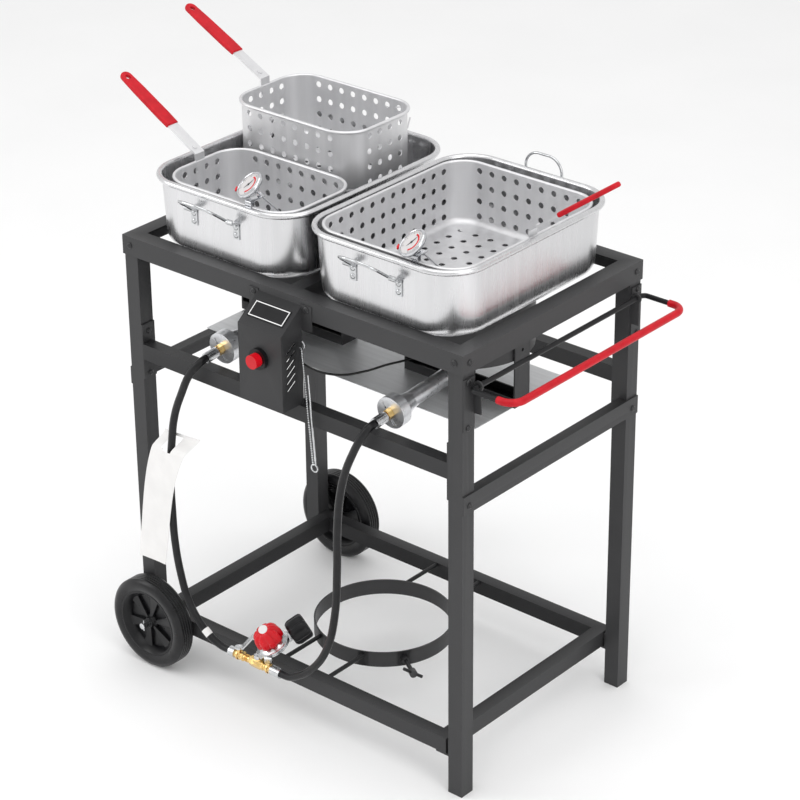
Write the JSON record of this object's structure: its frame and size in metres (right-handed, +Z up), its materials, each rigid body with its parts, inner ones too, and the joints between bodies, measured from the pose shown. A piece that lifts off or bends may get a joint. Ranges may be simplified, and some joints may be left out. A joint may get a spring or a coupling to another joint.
{
  "type": "turkey fryer kit",
  "caption": "Wheeled two-burner outdoor gas fryer stand with lift-out pans, perforated fry baskets, clip-on dial thermometers, hoses and regulator.",
  "frame": {"origin": "on the floor under the centre of the box around the stand and pans, hoses and regulator left out", "axes": "+Z up, +Y to the back, +X along the front to the side handle, the control panel faces -Y"},
  "size_m": [1.0431, 0.611, 1.1519],
  "materials": {
    "black_paint": "satin",
    "zinc_steel": "bright zinc",
    "black_zinc": "semi gloss",
    "tyre_rubber": "matte",
    "black_plastic": "matte",
    "red_grip": "dipped vinyl",
    "bright_steel": "bright",
    "cast_iron": "rough",
    "brass": "machined",
    "badge_black": "gloss, blank",
    "red_plastic": "gloss",
    "lead_rubber": "matte",
    "ceramic": "glazed",
    "hose_rubber": "matte",
    "white_card": "blank",
    "aluminium_pan": "drawn, satin",
    "bright_wire": "polished",
    "aluminium_basket": "drawn, satin",
    "dial_chrome": "polished"
  },
  "bodies": {
    "stand": {"top_frame": "black_paint", "legs_left": "black_paint", "legs_right": "black_paint", "mid_rail_front": "black_paint", "mid_rail_back": "black_paint", "side_rails": "black_paint", "shelf_frame": "black_paint", "shelf_brackets": "black_paint", "tank_ring": "black_paint", "frame_bolts": "black_zinc", "axle": "zinc_steel", "handle_brackets": "black_paint", "heat_shield": "bright_steel", "wind_guards": "black_paint", "burner_brackets": "black_paint", "burners": "cast_iron", "mixing_tubes": "bright_steel", "gas_orifices": "brass", "control_panel": "black_paint", "badge_plate": "badge_black", "igniter_collar": "black_plastic", "igniter_lead": "lead_rubber", "igniter_electrode": "ceramic", "match_chain": "zinc_steel", "hose_left": "hose_rubber", "hose_right": "hose_rubber", "hose_ferrules": "zinc_steel", "hang_tag": "white_card", "gas_manifold": "brass", "regulator": "zinc_steel"},
    "side_handle": {"side_handle": "black_paint", "handle_grip": "red_grip"},
    "wheel_front": {"tyre_front": "tyre_rubber", "hub_front": "black_plastic"},
    "wheel_back": {"tyre_back": "tyre_rubber", "hub_back": "black_plastic"},
    "igniter_button": {"igniter_button": "red_plastic"},
    "shutter_left": {"shutter_left": "bright_steel"},
    "shutter_right": {"shutter_right": "bright_steel"},
    "tank_screw": {"tank_screw": "black_zinc"},
    "regulator_knob": {"regulator_knob": "red_plastic"},
    "tank_nut": {"tank_nut": "black_plastic"},
    "valve_lever_left": {"valve_lever_left": "zinc_steel"},
    "valve_lever_right": {"valve_lever_right": "zinc_steel"},
    "pan_left": {"pan_left": "aluminium_pan", "bail_brackets_left": "aluminium_pan"},
    "pan_right": {"pan_right": "aluminium_pan", "bail_brackets_right": "aluminium_pan"},
    "bail_left_front": {"bail_left_front": "bright_wire"},
    "bail_left_back": {"bail_left_back": "bright_wire"},
    "bail_right_front": {"bail_right_front": "bright_wire"},
    "bail_right_back": {"bail_right_back": "bright_wire"},
    "basket_front": {"basket_front": "aluminium_basket", "grip_front": "red_grip"},
    "basket_back": {"basket_back": "aluminium_basket", "grip_back": "red_grip"},
    "basket_full": {"basket_full": "aluminium_basket", "grip_full": "red_grip"},
    "thermometer_left": {"thermometer_left": "dial_chrome"},
    "thermometer_right": {"thermometer_right": "dial_chrome"}
  },
  "joints": [
    {"name": "wheel_front_spin", "type": "hinge", "parent": "stand", "child": "wheel_front", "pos_m": [-0.3345, -0.2505, 0.089], "axis": [0, 1, 0], "continuous": true},
    {"name": "wheel_back_spin", "type": "hinge", "parent": "stand", "child": "wheel_back", "pos_m": [-0.3345, 0.2755, 0.089], "axis": [0, 1, 0], "continuous": true},
    {"name": "side_handle_fold", "type": "hinge", "parent": "stand", "child": "side_handle", "pos_m": [0.397, 0.0125, 0.79], "axis": [0, -1, 0], "range_deg": [0, 90]},
    {"name": "igniter_press", "type": "slide", "parent": "stand", "child": "igniter_button", "axis": [0, 1, 0], "range_m": [0, 0.006], "stiffness_N_per_m": 400, "springref_m": -0.002},
    {"name": "shutter_left_turn", "type": "hinge", "parent": "stand", "child": "shutter_left", "pos_m": [-0.19, -0.1875, 0.67], "axis": [0, 0.9962, 0.0872], "range_deg": [0, 90]},
    {"name": "shutter_right_turn", "type": "hinge", "parent": "stand", "child": "shutter_right", "pos_m": [0.197, -0.1875, 0.67], "axis": [0, 0.9962, 0.0872], "range_deg": [0, 90]},
    {"name": "tank_screw_turn", "type": "hinge", "parent": "stand", "child": "tank_screw", "pos_m": [0.1298, -0.0692, 0.092], "axis": [0.8387, -0.5446, 0], "continuous": true},
    {"name": "regulator_knob_turn", "type": "hinge", "parent": "stand", "child": "regulator_knob", "pos_m": [-0.052, -0.2265, 0.136], "axis": [-0.2347, -0.4066, 0.8829], "range_deg": [0, 270]},
    {"name": "tank_nut_turn", "type": "hinge", "parent": "stand", "child": "tank_nut", "pos_m": [-0.0513, -0.22528, 0.13335], "axis": [0.4415, 0.7647, 0.4695], "continuous": true},
    {"name": "valve_left_turn", "type": "hinge", "parent": "stand", "child": "valve_lever_left", "pos_m": [-0.117, -0.2495, 0.114], "axis": [0, 0, 1], "range_deg": [0, 90]},
    {"name": "valve_right_turn", "type": "hinge", "parent": "stand", "child": "valve_lever_right", "pos_m": [-0.044, -0.2495, 0.114], "axis": [0, 0, 1], "range_deg": [-45, 45]},
    {"name": "pan_left_lift", "type": "slide", "parent": "stand", "child": "pan_left", "axis": [0, 0, 1], "range_m": [0, 0.3]},
    {"name": "pan_right_lift", "type": "slide", "parent": "stand", "child": "pan_right", "axis": [0, 0, 1], "range_m": [0, 0.3]},
    {"name": "bail_left_front_swing", "type": "hinge", "parent": "pan_left", "child": "bail_left_front", "pos_m": [-0.178, -0.217, 0.936], "axis": [-1, 0, 0], "range_deg": [-100, 50]},
    {"name": "bail_left_back_swing", "type": "hinge", "parent": "pan_left", "child": "bail_left_back", "pos_m": [-0.178, 0.242, 0.936], "axis": [-1, 0, 0], "range_deg": [0, 140]},
    {"name": "bail_right_front_swing", "type": "hinge", "parent": "pan_right", "child": "bail_right_front", "pos_m": [0.182, -0.217, 0.936], "axis": [-1, 0, 0], "range_deg": [-100, 50]},
    {"name": "bail_right_back_swing", "type": "hinge", "parent": "pan_right", "child": "bail_right_back", "pos_m": [0.182, 0.242, 0.936], "axis": [-1, 0, 0], "range_deg": [0, 140]},
    {"name": "basket_front_lift", "type": "slide", "parent": "pan_left", "child": "basket_front", "axis": [0, 0, 1], "range_m": [0, 0.25]},
    {"name": "basket_back_lift", "type": "slide", "parent": "pan_left", "child": "basket_back", "axis": [0, 0, 1], "range_m": [0, 0.2]},
    {"name": "basket_full_lift", "type": "slide", "parent": "pan_right", "child": "basket_full", "axis": [0, 0, 1], "range_m": [0, 0.25]},
    {"name": "thermometer_left_lift", "type": "slide", "parent": "basket_front", "child": "thermometer_left", "axis": [0, 0, 1], "range_m": [0, 0.15]},
    {"name": "thermometer_right_lift", "type": "slide", "parent": "basket_full", "child": "thermometer_right", "axis": [0, 0, 1], "range_m": [0, 0.15]}
  ]
}
